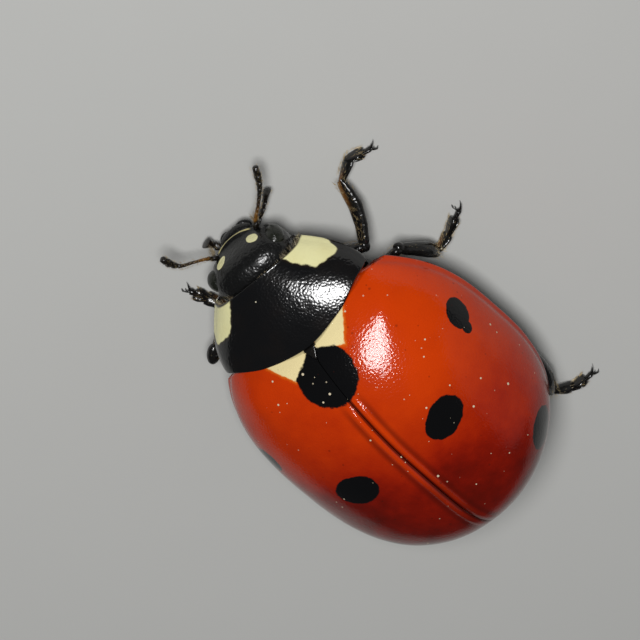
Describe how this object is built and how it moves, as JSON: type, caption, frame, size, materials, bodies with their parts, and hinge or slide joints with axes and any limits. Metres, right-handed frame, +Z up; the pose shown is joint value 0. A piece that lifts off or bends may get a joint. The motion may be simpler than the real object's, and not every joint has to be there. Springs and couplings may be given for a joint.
{
  "type": "seven-spot ladybird, still life-size model",
  "caption": "Still life-size ladybird standing on its feet: domed red wing cases with black spots, black neck shield with cream corners, head, feelers and legs.",
  "frame": {"origin": "on the floor under the middle of the whole model's box", "axes": "+Z up from the floor, -Y the way the head faces, +X to the insect's left"},
  "size_m": [0.0064, 0.0094, 0.0036],
  "materials": {
    "red_shell": "glossy chitin, orange-red with black spots and cream marks at the base",
    "black_shell": "glossy black chitin, finely netted, with cream patches",
    "eye": "black, finely faceted",
    "feeler": "golden brown with a darker hairy club",
    "leg": "black with short golden hairs",
    "underside": "black, finely punctured, satin"
  },
  "bodies": {
    "root": {"abdomen": "underside", "antenna_left": "feeler", "antenna_right": "feeler", "elytron_left": "red_shell", "elytron_right": "red_shell", "eye_left": "eye", "eye_right": "eye", "femur_front_left": "leg", "femur_front_right": "leg", "femur_hind_left": "leg", "femur_hind_right": "leg", "femur_middle_left": "leg", "femur_middle_right": "leg", "head": "black_shell", "labrum": "black_shell", "palp_left": "leg", "palp_right": "leg", "pronotum": "black_shell", "prosternum": "underside", "scutellum": "black_shell", "tarsus_front_left": "leg", "tarsus_front_right": "leg", "tarsus_hind_left": "leg", "tarsus_hind_right": "leg", "tarsus_middle_left": "leg", "tarsus_middle_right": "leg", "thorax": "underside", "tibia_front_left": "leg", "tibia_front_right": "leg", "tibia_hind_left": "leg", "tibia_hind_right": "leg", "tibia_middle_left": "leg", "tibia_middle_right": "leg"}
  },
  "joints": []
}
